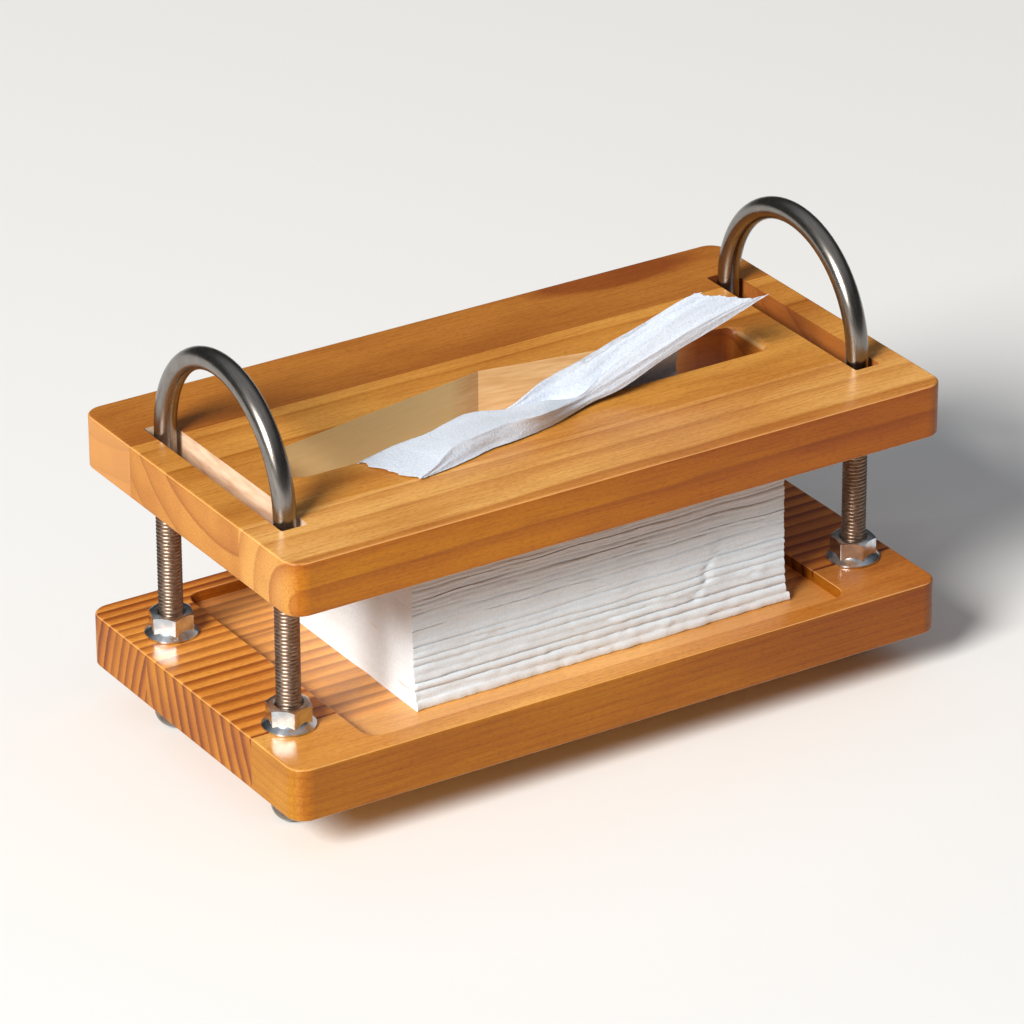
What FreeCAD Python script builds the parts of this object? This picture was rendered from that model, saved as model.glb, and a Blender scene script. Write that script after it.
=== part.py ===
import FreeCAD, Part
import math
import os
import Sketcher

# Tissue holder: a loose pine board slides on two steel U-bolts and lies on the tissue pack,
# which sits in a shallow recess of the base board. The U-bolts are clamped to the base by
# flange nuts above it and dome nuts below it, and the dome nuts are the feet.
# Frame: millimetres, +Z up, z = 0 on the table under the dome nuts, X along the long side,
# -Y is the front, and the origin is in the middle of the boards.

doc = FreeCAD.newDocument("TissueHolder")
sheet = doc.addObject("Spreadsheet::Sheet", "Sizes")

# Driving sizes: alias, value in millimetres, what it is
SIZES = [
    ("board_length", 240, "both boards, along X"),
    ("board_width", 130, "both boards, along Y"),
    ("corner_radius", 6.5, "plan corners of both boards"),
    ("edge_radius", 0.9, "eased edges of both boards"),
    ("base_thickness", 18, "base board"),
    ("recess_end_margin", 31, "end of the base to the pack recess"),
    ("recess_side_margin", 8, "front or back of the base to the pack recess"),
    ("recess_depth", 4, "pack recess in the base"),
    ("recess_corner", 5.5, "cutter radius in the corners of the recess"),
    ("recess_rim_radius", 0.6, "sanded rim of the recess"),
    ("top_thickness", 18, "top board"),
    ("opening_end_margin", 34, "end of the top board to the tissue opening"),
    ("opening_near", 14.4, "straight front edge of the opening, from the middle"),
    ("opening_end", 6.5, "back corners of the opening, from the middle"),
    ("opening_peak", 22, "peak of the back edge of the opening, from the middle"),
    ("opening_corner", 4, "corner radius of the opening"),
    ("slot_corner", 0.8, "corner radius of the two slots"),
    ("slot_side_clearance", 0.6, "slot wall to rod, each side"),
    ("slot_end_clearance", 2, "slot end to rod"),
    ("bolt_inset", 14.5, "end of the boards to the middle of the U-bolt"),
    ("leg_spacing", 73, "from leg to leg of a U-bolt, along Y"),
    ("rod_diameter", 7.3, "plain rod of a U-bolt, as rolled"),
    ("thread_diameter", 8, "crest of the M8 thread"),
    ("thread_length", 86, "threaded stretch of each leg"),
    ("leg_length", 99, "straight leg, from its end to the middle of the arch"),
    ("leg_chamfer", 0.8, "chamfer on the end of each leg"),
    ("leg_hole_clearance", 0.5, "hole in the base to thread, all round"),
    ("thread_clearance", 0.05, "nut bore to thread, all round"),
    ("nut_across_flats", 13, "hexagon of the M8 nuts"),
    ("nut_chamfer_diameter", 12.35, "flat left on the end of the hexagon"),
    ("nut_chamfer_angle", 30, "chamfer of the hexagon corners, degrees"),
    ("flange_nut_height", 8, "flange nut"),
    ("flange_diameter", 17.2, "flange of the flange nut"),
    ("flange_rim", 1.1, "rim of the flange"),
    ("flange_cone", 2.8, "height of the sloped flange at the hexagon"),
    ("dome_nut_height", 15, "dome nut, from the base board to the table"),
    ("dome_hexagon_height", 6.5, "hexagon of the dome nut"),
    ("dome_diameter", 12.5, "dome of the dome nut"),
    ("dome_bore_depth", 11, "blind bore of the dome nut"),
    ("pack_length", 140.4, "tissue pack, along X"),
    ("pack_width", 84, "tissue pack, along Y, at its top"),
    ("pack_offset", 5.6, "how far the pack lies to the right of the middle"),
    ("pack_height", 55.7, "tissue pack under the weight of the top board"),
    ("pack_flare", 3.4, "how far the lowest folds stick out at the front and the back"),
    ("pack_folds", 30, "folded edges seen on the front of the pack"),
    ("loose_share", 0.25, "share of the height that the looser folds at the bottom take"),
    ("fold_bulge", 0.45, "how far each folded edge swells"),
    ("seat_clearance", 0.3, "soft tissue to what it rests on or carries"),
    ("tissue_thickness", 1.2, "the drawn tissue, folded to several layers"),
    ("tissue_stem_left", 36, "left end of the drawn tissue in the opening, from the middle"),
    ("tissue_stem_right", 55, "right end of the drawn tissue in the opening, from the middle"),
    ("tissue_stem_back", 5.4, "drawn tissue to the front edge of the opening"),
]
for row, (alias, value, meaning) in enumerate(SIZES, start=1):
    sheet.set("A%d" % row, meaning)
    sheet.set("B%d" % row, str(value))
    sheet.setAlias("B%d" % row, alias)
doc.recompute()


def size(alias):
    return float(getattr(sheet, alias))


# Heights that several pieces share, as expressions on the sheet
BASE_BOTTOM = "Sizes.dome_nut_height"
BASE_TOP = "Sizes.dome_nut_height + Sizes.base_thickness"
PACK_BOTTOM = BASE_TOP + " - Sizes.recess_depth"
TOP_BOTTOM = PACK_BOTTOM + " + Sizes.pack_height + Sizes.seat_clearance"
LEG_BOTTOM = "Sizes.dome_nut_height - Sizes.dome_bore_depth + Sizes.leg_chamfer"

# Places in plan that several pieces share
BOLT_X = "(Sizes.board_length / 2 - Sizes.bolt_inset)"
LEG_Y = "Sizes.leg_spacing / 2"

Vector = FreeCAD.Vector

# A sketch numbers the ends and the centre of what it draws, and its own axes and origin
START, END, CENTRE = range(1, 4)
X_AXIS, Y_AXIS = range(-1, -3, -1)
ORIGIN = (X_AXIS, START)


def origin_plane(body, role):
    return next(f for f in body.Origin.OriginFeatures if f.Role == role)


def new_body(label):
    body = doc.addObject("PartDesign::Body", label)
    body.Label = label
    return body


def new_sketch(body, name, plane="XY_Plane", height=None):
    sketch = body.newObject("Sketcher::SketchObject", name)
    sketch.AttachmentSupport = [(origin_plane(body, plane), "")]
    sketch.MapMode = "FlatFace"
    if height:
        sketch.setExpression(".AttachmentOffset.Base.z", height)
    return sketch


def bind(sketch, constraint, expression):
    """Add a dimension to a sketch and drive it from the sheet."""
    index = sketch.addConstraint(constraint)
    sketch.setExpression("Constraints[%d]" % index, expression)


def closed_outline(sketch, points):
    """Draw straight lines from point to point and back to the first one."""
    corners = [Vector(x, y, 0) for x, y in points]
    lines = []
    for start, end in zip(corners, corners[1:] + corners[:1]):
        lines.append(sketch.addGeometry(Part.LineSegment(start, end), False))
    for first, second in zip(lines, lines[1:] + lines[:1]):
        sketch.addConstraint(Sketcher.Constraint("Coincident", first, END, second, START))
    return lines


def centred_rectangle(sketch, length, width):
    """Draw a rectangle about the origin, with its length along X and its width along Y."""
    bottom, right, top, left = closed_outline(sketch, [(-9, -5), (9, -5), (9, 5), (-9, 5)])
    for line in (bottom, top):
        sketch.addConstraint(Sketcher.Constraint("Horizontal", line))
    for line in (right, left):
        sketch.addConstraint(Sketcher.Constraint("Vertical", line))
    sketch.addConstraint(Sketcher.Constraint("Symmetric", bottom, START, top, START, *ORIGIN))
    bind(sketch, Sketcher.Constraint("DistanceX", bottom, START, bottom, END, 18), length)
    bind(sketch, Sketcher.Constraint("DistanceY", right, START, right, END, 10), width)


def circle(sketch, radius, x=None, y=None):
    """Draw a circle at the origin, or at the place that two expressions give."""
    index = sketch.addGeometry(Part.Circle(Vector(3, 3, 0), Vector(0, 0, 1), 2), False)
    bind(sketch, Sketcher.Constraint("Radius", index, 2), radius)
    if x is None and y is None:
        sketch.addConstraint(Sketcher.Constraint("Coincident", index, CENTRE, *ORIGIN))
        return index
    if x is None:
        sketch.addConstraint(Sketcher.Constraint("PointOnObject", index, CENTRE, Y_AXIS))
    else:
        bind(sketch, Sketcher.Constraint("DistanceX", -1, 1, index, CENTRE, 3), x)
    bind(sketch, Sketcher.Constraint("DistanceY", -1, 1, index, CENTRE, 3), y)
    return index


def mirrored_circle(sketch, source, *mirror):
    """Draw a circle equal to another one, mirrored about an axis or the origin."""
    index = sketch.addGeometry(Part.Circle(Vector(-3, -3, 0), Vector(0, 0, 1), 2), False)
    sketch.addConstraint(Sketcher.Constraint("Equal", source, index))
    sketch.addConstraint(Sketcher.Constraint("Symmetric", source, CENTRE, index, CENTRE, *mirror))


def feature(body, kind, name, profile, **sizes):
    """Add a sketch-based feature and bind its sizes to the sheet."""
    made = body.newObject("PartDesign::" + kind, name)
    made.Profile = profile
    profile.Visibility = False
    for key, value in sizes.items():
        if isinstance(value, str) and "Sizes." in value:
            made.setExpression(key, value)
        else:
            setattr(made, key, value)
    doc.recompute()
    return made


def edges_where(shape, test):
    """Names of the edges whose two ends and middle all pass the test."""
    names = []
    for index, edge in enumerate(shape.Edges, start=1):
        middle = edge.valueAt((edge.FirstParameter + edge.LastParameter) / 2)
        if all(test(p) for p in [v.Point for v in edge.Vertexes] + [middle]):
            names.append("Edge%d" % index)
    return names


def dress(body, kind, name, base, test, **sizes):
    """Add a fillet or a chamfer to the edges of a feature that pass a test."""
    made = body.newObject("PartDesign::" + kind, name)
    made.Base = (base, edges_where(base.Shape, test))
    for key, expression in sizes.items():
        made.setExpression(key, expression)
    doc.recompute()
    return made


def near(value, target, slack=0.01):
    return abs(value - target) < slack


def place(body, height=None, x=None, y=None):
    """Put a body at a height, and at a place in plan, that the sheet gives."""
    if height:
        body.setExpression(".Placement.Base.z", height)
    if x:
        body.setExpression(".Placement.Base.x", x)
    if y:
        body.setExpression(".Placement.Base.y", y)


# Boards

def eased_board(label, thickness):
    """A board with rounded plan corners and eased edges all round."""
    body = new_body(label)
    outline = new_sketch(body, label + "_outline")
    centred_rectangle(outline, "Sizes.board_length", "Sizes.board_width")
    slab = feature(body, "Pad", label + "_slab", outline, Length="Sizes." + thickness)
    half_length = size("board_length") / 2
    half_width = size("board_width") / 2
    rounded = dress(body, "Fillet", label + "_corners", slab,
                    lambda p: near(abs(p.x), half_length) and near(abs(p.y), half_width),
                    Radius="Sizes.corner_radius")
    eased = dress(body, "Fillet", label + "_edges", rounded,
                  lambda p: near(p.z, 0) or near(p.z, size(thickness)),
                  Radius="Sizes.edge_radius")
    return body, eased


def make_base_board():
    body, board = eased_board("base_board", "base_thickness")
    recess_sketch = new_sketch(body, "recess_outline", height="Sizes.base_thickness")
    centred_rectangle(recess_sketch, "Sizes.board_length - 2 * Sizes.recess_end_margin",
                      "Sizes.board_width - 2 * Sizes.recess_side_margin")
    recess = feature(body, "Pocket", "recess", recess_sketch, Length="Sizes.recess_depth")
    half_length = size("board_length") / 2 - size("recess_end_margin")
    half_width = size("board_width") / 2 - size("recess_side_margin")
    corners = dress(body, "Fillet", "recess_corners", recess,
                    lambda p: near(abs(p.x), half_length) and near(abs(p.y), half_width),
                    Radius="Sizes.recess_corner")
    dress(body, "Fillet", "recess_rim", corners,
          lambda p: near(p.z, size("base_thickness"))
          and abs(p.x) < half_length + 1 and abs(p.y) < half_width + 1,
          Radius="Sizes.recess_rim_radius")
    hole_sketch = new_sketch(body, "leg_hole_places")
    first = circle(hole_sketch, "Sizes.thread_diameter / 2 + Sizes.leg_hole_clearance",
                   BOLT_X, LEG_Y)
    mirrored_circle(hole_sketch, first, Y_AXIS)
    mirrored_circle(hole_sketch, first, X_AXIS)
    mirrored_circle(hole_sketch, first, *ORIGIN)
    feature(body, "Pocket", "leg_holes", hole_sketch, Type="ThroughAll", Reversed=True)
    place(body, BASE_BOTTOM)
    return body


def slot_outline(sketch):
    """Draw the slot of the right-hand U-bolt, centred on the X axis."""
    bottom, right, top, left = closed_outline(sketch, [(60, -9), (66, -9), (66, 9), (60, 9)])
    for line in (bottom, top):
        sketch.addConstraint(Sketcher.Constraint("Horizontal", line))
    sketch.addConstraint(Sketcher.Constraint("Vertical", left))
    sketch.addConstraint(Sketcher.Constraint("Symmetric", right, START, right, END, X_AXIS))
    width = "Sizes.thread_diameter + 2 * Sizes.slot_side_clearance"
    bind(sketch, Sketcher.Constraint("DistanceX", bottom, START, bottom, END, 6), width)
    bind(sketch, Sketcher.Constraint("DistanceX", -1, 1, bottom, START, 60),
         BOLT_X + " - Sizes.thread_diameter / 2 - Sizes.slot_side_clearance")
    bind(sketch, Sketcher.Constraint("DistanceY", right, START, right, END, 18),
         "Sizes.leg_spacing + Sizes.thread_diameter + 2 * Sizes.slot_end_clearance")


def opening_outline(sketch):
    """Draw the tissue opening: a straight front edge, short ends and a peaked back edge."""
    front, right, back_right, back_left, left = closed_outline(
        sketch, [(-30, -6), (30, -6), (30, 3), (0, 9), (-30, 3)])
    sketch.addConstraint(Sketcher.Constraint("Vertical", right))
    sketch.addConstraint(Sketcher.Constraint("Vertical", left))
    sketch.addConstraint(Sketcher.Constraint("Symmetric", front, START, front, END, Y_AXIS))
    sketch.addConstraint(Sketcher.Constraint("Horizontal", right, END, left, START))
    sketch.addConstraint(Sketcher.Constraint("PointOnObject", back_right, END, Y_AXIS))
    bind(sketch, Sketcher.Constraint("DistanceX", front, START, front, END, 60),
         "Sizes.board_length - 2 * Sizes.opening_end_margin")
    bind(sketch, Sketcher.Constraint("DistanceY", front, START, -1, 1, 6), "Sizes.opening_near")
    bind(sketch, Sketcher.Constraint("DistanceY", -1, 1, right, END, 3), "Sizes.opening_end")
    bind(sketch, Sketcher.Constraint("DistanceY", -1, 1, back_right, END, 9),
         "Sizes.opening_peak")


def make_top_board():
    body, board = eased_board("top_board", "top_thickness")
    slot_sketch = new_sketch(body, "slot_outline")
    slot_outline(slot_sketch)
    slot = feature(body, "Pocket", "right_slot", slot_sketch, Type="ThroughAll", Reversed=True)
    bolt_x = size("board_length") / 2 - size("bolt_inset")
    slot_half_width = size("thread_diameter") / 2 + size("slot_side_clearance")
    slot_half_length = (size("leg_spacing") + size("thread_diameter")) / 2
    slot_half_length += size("slot_end_clearance")
    corners = dress(
        body, "Fillet", "slot_corners", slot,
        lambda p: near(abs(p.x - bolt_x), slot_half_width)
        and near(abs(p.y), slot_half_length),
        Radius="Sizes.slot_corner")
    mirrored = body.newObject("PartDesign::Mirrored", "left_slot")
    mirrored.Originals = [slot, corners]
    mirrored.MirrorPlane = (origin_plane(body, "YZ_Plane"), [""])
    body.Tip = mirrored
    doc.recompute()
    opening_sketch = new_sketch(body, "opening_outline")
    opening_outline(opening_sketch)
    opening = feature(body, "Pocket", "opening", opening_sketch,
                      Type="ThroughAll", Reversed=True)
    half_length = size("board_length") / 2 - size("opening_end_margin")
    dress(body, "Fillet", "opening_corners", opening,
          lambda p: near(abs(p.x), half_length) and abs(p.y) < size("opening_peak"),
          Radius="Sizes.opening_corner")
    place(body, TOP_BOTTOM)
    return body


# U-bolts

def make_u_bolt(label, side):
    """A rod bent to an arch on two straight legs, each with a rolled thread."""
    body = new_body(label)
    half = size("leg_spacing") / 2
    straight = size("leg_length")
    path = new_sketch(body, label + "_path", plane="YZ_Plane")
    front_leg = path.addGeometry(
        Part.LineSegment(Vector(-half, 0, 0), Vector(-half, straight, 0)), False)
    arch = path.addGeometry(
        Part.ArcOfCircle(Part.Circle(Vector(0, straight, 0), Vector(0, 0, 1), half), 0, math.pi),
        False)
    back_leg = path.addGeometry(
        Part.LineSegment(Vector(half, straight, 0), Vector(half, 0, 0)), False)
    path.addConstraint(Sketcher.Constraint("Vertical", front_leg))
    path.addConstraint(Sketcher.Constraint("Vertical", back_leg))
    path.addConstraint(Sketcher.Constraint("Tangent", front_leg, END, arch, END))
    path.addConstraint(Sketcher.Constraint("Tangent", back_leg, START, arch, START))
    path.addConstraint(Sketcher.Constraint("PointOnObject", arch, CENTRE, Y_AXIS))
    path.addConstraint(Sketcher.Constraint("PointOnObject", front_leg, START, X_AXIS))
    path.addConstraint(Sketcher.Constraint("PointOnObject", back_leg, END, X_AXIS))
    bind(path, Sketcher.Constraint("DistanceX", front_leg, START, back_leg, END, 2 * half),
         "Sizes.leg_spacing")
    bind(path, Sketcher.Constraint("DistanceY", front_leg, START, front_leg, END, straight),
         "Sizes.leg_length")
    section = new_sketch(body, label + "_section")
    circle(section, "Sizes.rod_diameter / 2", None, LEG_Y)
    doc.recompute()
    rod = body.newObject("PartDesign::AdditivePipe", label + "_rod")
    rod.Profile = section
    rod.Spine = (path, ["Edge3", "Edge2", "Edge1"])
    doc.recompute()
    threads = new_sketch(body, label + "_thread_places")
    first = circle(threads, "Sizes.thread_diameter / 2", None, LEG_Y)
    mirrored_circle(threads, first, X_AXIS)
    legs = feature(body, "Pad", label + "_threads", threads, Length="Sizes.thread_length")
    crest = size("thread_diameter") / 2
    dress(body, "Chamfer", label + "_leg_ends", legs,
          lambda p: near(p.z, 0) and near(math.hypot(p.x, abs(p.y) - half), crest),
          Size="Sizes.leg_chamfer")
    place(body, LEG_BOTTOM, side + BOLT_X)
    return body


# Nuts

def hexagon(sketch, across_flats):
    """Draw a regular hexagon about the origin, with two corners on the X axis."""
    points = []
    for corner in range(6):
        angle = math.radians(60 * corner)
        points.append((7 * math.cos(angle), 7 * math.sin(angle)))
    lines = closed_outline(sketch, points)
    ring = sketch.addGeometry(Part.Circle(Vector(0, 0, 0), Vector(0, 0, 1), 7), True)
    sketch.addConstraint(Sketcher.Constraint("Coincident", ring, CENTRE, *ORIGIN))
    for line in lines:
        sketch.addConstraint(Sketcher.Constraint("PointOnObject", line, START, ring))
    for line in lines[1:]:
        sketch.addConstraint(Sketcher.Constraint("Equal", lines[0], line))
    sketch.addConstraint(Sketcher.Constraint("PointOnObject", lines[0], START, X_AXIS))
    bind(sketch, Sketcher.Constraint("Radius", ring, 7), across_flats + " / sqrt(3)")


def hexagon_chamfer(body, name, height, upwards):
    """Turn the corners of a hexagon down to a cone at one of its ends."""
    flat = size("nut_chamfer_diameter") / 2
    corner = size("nut_across_flats") / math.sqrt(3)
    beyond = corner + 1
    slope = math.tan(math.radians(size("nut_chamfer_angle")))
    drop = (beyond - flat) * slope * (-1 if upwards else 1)
    sketch = new_sketch(body, name + "_outline", plane="XZ_Plane")
    z = size_of(height)
    start, outer, low = closed_outline(
        sketch, [(flat, z), (beyond, z), (beyond, z + drop)])
    sketch.addConstraint(Sketcher.Constraint("Horizontal", start))
    sketch.addConstraint(Sketcher.Constraint("Vertical", outer))
    bind(sketch, Sketcher.Constraint("DistanceY", -1, 1, start, START, z), height)
    bind(sketch, Sketcher.Constraint("DistanceX", -1, 1, start, START, flat),
         "Sizes.nut_chamfer_diameter / 2")
    bind(sketch, Sketcher.Constraint("DistanceX", -1, 1, start, END, beyond),
         "Sizes.nut_across_flats / sqrt(3) + 1")
    rise = "(Sizes.nut_across_flats / sqrt(3) + 1 - Sizes.nut_chamfer_diameter / 2)"
    rise += " * tan(Sizes.nut_chamfer_angle * 1deg)"
    if upwards:
        ends = (outer, END, outer, START)
    else:
        ends = (outer, START, outer, END)
    bind(sketch, Sketcher.Constraint("DistanceY", *ends, abs(drop)), rise)
    groove = feature(body, "Groove", name, sketch, Angle=360)
    groove.ReferenceAxis = (sketch, ["V_Axis"])
    doc.recompute()
    return groove


def size_of(expression):
    """Value of a sum or difference of aliases, for the first guess of a sketch."""
    total = 0.0
    for sign, term in zip(["+"] + expression.split()[1::2], expression.split()[0::2]):
        value = size(term.replace("Sizes.", ""))
        total += value if sign == "+" else -value
    return total


def revolved(body, name, sketch):
    turned = feature(body, "Revolution", name, sketch, Angle=360)
    turned.ReferenceAxis = (sketch, ["V_Axis"])
    doc.recompute()
    return turned


def make_flange_nut(label, side, end, turn):
    """A hexagon nut with a washer-like flange under it, z = 0 on its bearing face."""
    body = new_body(label)
    rim = new_sketch(body, label + "_flange_outline", plane="XZ_Plane")
    inner, outer = 6, 8.6
    bottom, edge, cone, top, axis = closed_outline(
        rim, [(0, 0), (outer, 0), (outer, 1), (inner, 3), (0, 3)])
    rim.addConstraint(Sketcher.Constraint("Coincident", bottom, START, *ORIGIN))
    rim.addConstraint(Sketcher.Constraint("Horizontal", bottom))
    rim.addConstraint(Sketcher.Constraint("Vertical", edge))
    rim.addConstraint(Sketcher.Constraint("Horizontal", top))
    rim.addConstraint(Sketcher.Constraint("Vertical", axis))
    bind(rim, Sketcher.Constraint("DistanceX", bottom, START, bottom, END, outer),
         "Sizes.flange_diameter / 2")
    bind(rim, Sketcher.Constraint("DistanceY", edge, START, edge, END, 1), "Sizes.flange_rim")
    bind(rim, Sketcher.Constraint("DistanceX", top, END, top, START, inner),
         "Sizes.nut_across_flats / 2 - Sizes.thread_clearance")
    bind(rim, Sketcher.Constraint("DistanceY", axis, END, axis, START, 3), "Sizes.flange_cone")
    revolved(body, label + "_flange", rim)
    prism = new_sketch(body, label + "_hexagon_outline")
    hexagon(prism, "Sizes.nut_across_flats")
    feature(body, "Pad", label + "_hexagon", prism, Length="Sizes.flange_nut_height")
    hexagon_chamfer(body, label + "_chamfer", "Sizes.flange_nut_height", True)
    bore = new_sketch(body, label + "_bore_outline")
    circle(bore, "Sizes.thread_diameter / 2 + Sizes.thread_clearance")
    feature(body, "Pocket", label + "_bore", bore, Type="ThroughAll", Reversed=True)
    body.Placement = FreeCAD.Placement(Vector(), FreeCAD.Rotation(Vector(0, 0, 1), turn))
    place(body, BASE_TOP, side + BOLT_X, end + LEG_Y)
    return body


def make_dome_nut(label, side, end, turn):
    """A closed nut that ends in a half ball, z = 0 at the tip that stands on the table."""
    body = new_body(label)
    radius = size("dome_diameter") / 2
    shoulder = size("dome_nut_height") - size("dome_hexagon_height")
    dome = new_sketch(body, label + "_dome_outline", plane="XZ_Plane")
    ball = dome.addGeometry(
        Part.ArcOfCircle(Part.Circle(Vector(0, radius, 0), Vector(0, 0, 1), radius),
                         -math.pi / 2, 0), False)
    side_line = dome.addGeometry(
        Part.LineSegment(Vector(radius, radius, 0), Vector(radius, shoulder, 0)), False)
    top = dome.addGeometry(
        Part.LineSegment(Vector(radius, shoulder, 0), Vector(0, shoulder, 0)), False)
    axis = dome.addGeometry(Part.LineSegment(Vector(0, shoulder, 0), Vector(0, 0, 0)), False)
    dome.addConstraint(Sketcher.Constraint("Coincident", ball, START, *ORIGIN))
    dome.addConstraint(Sketcher.Constraint("PointOnObject", ball, CENTRE, Y_AXIS))
    dome.addConstraint(Sketcher.Constraint("Tangent", ball, END, side_line, START))
    dome.addConstraint(Sketcher.Constraint("Coincident", side_line, END, top, START))
    dome.addConstraint(Sketcher.Constraint("Coincident", top, END, axis, START))
    dome.addConstraint(Sketcher.Constraint("Coincident", axis, END, ball, START))
    dome.addConstraint(Sketcher.Constraint("Vertical", side_line))
    dome.addConstraint(Sketcher.Constraint("Horizontal", top))
    dome.addConstraint(Sketcher.Constraint("Vertical", axis))
    bind(dome, Sketcher.Constraint("Radius", ball, radius), "Sizes.dome_diameter / 2")
    bind(dome, Sketcher.Constraint("DistanceY", -1, 1, top, START, shoulder),
         "Sizes.dome_nut_height - Sizes.dome_hexagon_height")
    revolved(body, label + "_dome", dome)
    shoulder_height = "Sizes.dome_nut_height - Sizes.dome_hexagon_height"
    prism = new_sketch(body, label + "_hexagon_outline", height=shoulder_height)
    hexagon(prism, "Sizes.nut_across_flats")
    feature(body, "Pad", label + "_hexagon", prism, Length="Sizes.dome_hexagon_height")
    hexagon_chamfer(body, label + "_chamfer", shoulder_height, False)
    bore = new_sketch(body, label + "_bore_outline", height="Sizes.dome_nut_height")
    circle(bore, "Sizes.thread_diameter / 2 + Sizes.thread_clearance")
    feature(body, "Pocket", label + "_bore", bore, Length="Sizes.dome_bore_depth")
    body.Placement = FreeCAD.Placement(Vector(), FreeCAD.Rotation(Vector(0, 0, 1), turn))
    place(body, None, side + BOLT_X, end + LEG_Y)
    return body


# Tissue

def make_tissue_pack():
    """Folded tissues pressed to a block, with a swelling edge per fold on the long sides. The
    lowest folds are loose: they are thicker than the others and stick out."""
    length = size("pack_length")
    half_width = size("pack_width") / 2
    height = size("pack_height")
    bulge = size("fold_bulge")
    flare = size("pack_flare")
    loose = size("loose_share")
    folds = int(size("pack_folds"))

    def fold_level(number):
        share = number / folds
        return height * ((1 - loose) * share + loose * (1 - (1 - share) ** 4))

    def fold_reach(level):
        return half_width + flare * (1 - level / height) ** 4

    edges = []
    for side in (1, -1):
        for fold in range(folds):
            low, high = fold_level(fold), fold_level(fold + 1)
            middle = (low + high) / 2
            edges.append(Part.Arc(Vector(0, side * (fold_reach(low) - bulge), low),
                                  Vector(0, side * fold_reach(middle), middle),
                                  Vector(0, side * (fold_reach(high) - bulge), high)).toShape())
    for level in (0, height):
        valley = fold_reach(level) - bulge
        edges.append(Part.makeLine(Vector(0, -valley, level), Vector(0, valley, level)))
    outline = Part.Wire(Part.sortEdges(edges)[0])
    block = Part.Face(outline).extrude(Vector(length, 0, 0))
    made = doc.addObject("Part::Feature", "tissue_pack")
    made.Label = "tissue_pack"
    made.Shape = block
    bottom = size_of(BASE_TOP + " - Sizes.recess_depth")
    left = size("pack_offset") - length / 2
    made.Placement = FreeCAD.Placement(Vector(left, 0, bottom), FreeCAD.Rotation())
    return made


# Sections through the drawn tissue, from its left end on the board to its right end standing
# up: x from the middle of the board, then the upper edge, the crest and the lower edge, each
# as y from the stem and z over the board
DRAWN_SECTIONS = [
    (-61, (-5.6, 1.1), (-17, 1.6), (-25, 0.5)),
    (-34, (-2.3, 2.3), (-16, 3), (-22.7, 0.5)),
    (-8, (1, 2.4), (-13.2, 3.6), (-17, 0.5)),
    (14, (1, 9.1), (-11, 3), (-10, 0.6)),
    (32, (1, 15.4), (-2.8, 8.5), (-5, 1.1)),
    (50, (1, 21), (-0.9, 15.1), (-1.8, 4)),
    (66, (1, 24.8), (-0.6, 17.7), (-0.3, 8)),
    (80, (0.8, 20.4), (-0.3, 17), (0, 12.4)),
    (92, (0.6, 17.6), (0.4, 16.8), (0.3, 15.8)),
]


def make_drawn_tissue():
    """The next tissue: a stem in the opening, and a ribbon creased along its length."""
    thickness = size("tissue_thickness")
    board_top = size_of(TOP_BOTTOM + " + Sizes.top_thickness")
    stem_front = size("tissue_stem_back") - size("opening_near")
    last = len(DRAWN_SECTIONS) - 1
    sections = []
    for station, (x, *creases) in enumerate(DRAWN_SECTIONS):
        # The ribbon faces up at its left end and to the front at its right end
        tilt = math.radians(90 * station / last)
        across = Vector(0, -math.sin(tilt), math.cos(tilt)) * thickness
        inner = [Vector(x, stem_front + y, board_top + z) for y, z in creases]
        outer = [point + across for point in reversed(inner)]
        sections.append(Part.makePolygon(inner + outer + inner[:1]))
    ribbon = Part.makeLoft(sections, True, True)
    left, right = -size("tissue_stem_left"), size("tissue_stem_right")
    stem_bottom = size_of(TOP_BOTTOM)
    lowest_edge = DRAWN_SECTIONS[1][1]
    stem_top = board_top + lowest_edge[1] + thickness / 2
    stem = Part.makeBox(right - left, thickness, stem_top - stem_bottom,
                        Vector(left, stem_front, stem_bottom))
    made = doc.addObject("Part::Feature", "drawn_tissue")
    made.Label = "drawn_tissue"
    made.Shape = ribbon.fuse(stem).removeSplitter()
    return made


parts = [make_base_board(), make_top_board()]
parts.append(make_u_bolt("u_bolt_left", "-"))
parts.append(make_u_bolt("u_bolt_right", ""))
# Each nut stopped at its own turn when it was tightened, in degrees.
LEGS = [
    ("left_front", "-", "-", 15),
    ("left_back", "-", "", 12),
    ("right_front", "", "-", 22),
    ("right_back", "", "", 40),
]
for leg, side, end, turn in LEGS:
    parts.append(make_flange_nut("flange_nut_" + leg, side, end, turn))
    parts.append(make_dome_nut("dome_nut_" + leg, side, end, turn + 7))
parts.append(make_tissue_pack())
parts.append(make_drawn_tissue())
doc.recompute()

for thing in doc.Objects:
    if "Invalid" in thing.State or "Error" in thing.State:
        raise RuntimeError("%s did not compute: %s" % (thing.Label, thing.State))
for part in parts:
    if part.Shape.isNull() or not part.Shape.isValid():
        raise RuntimeError("%s has no valid shape" % part.Label)

os.makedirs("parts", exist_ok=True)
for part in parts:
    part.Shape.exportStep("parts/%s.step" % part.Label)
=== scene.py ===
import math

import bmesh
import bpy
from mathutils import Matrix, Vector, noise


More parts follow.
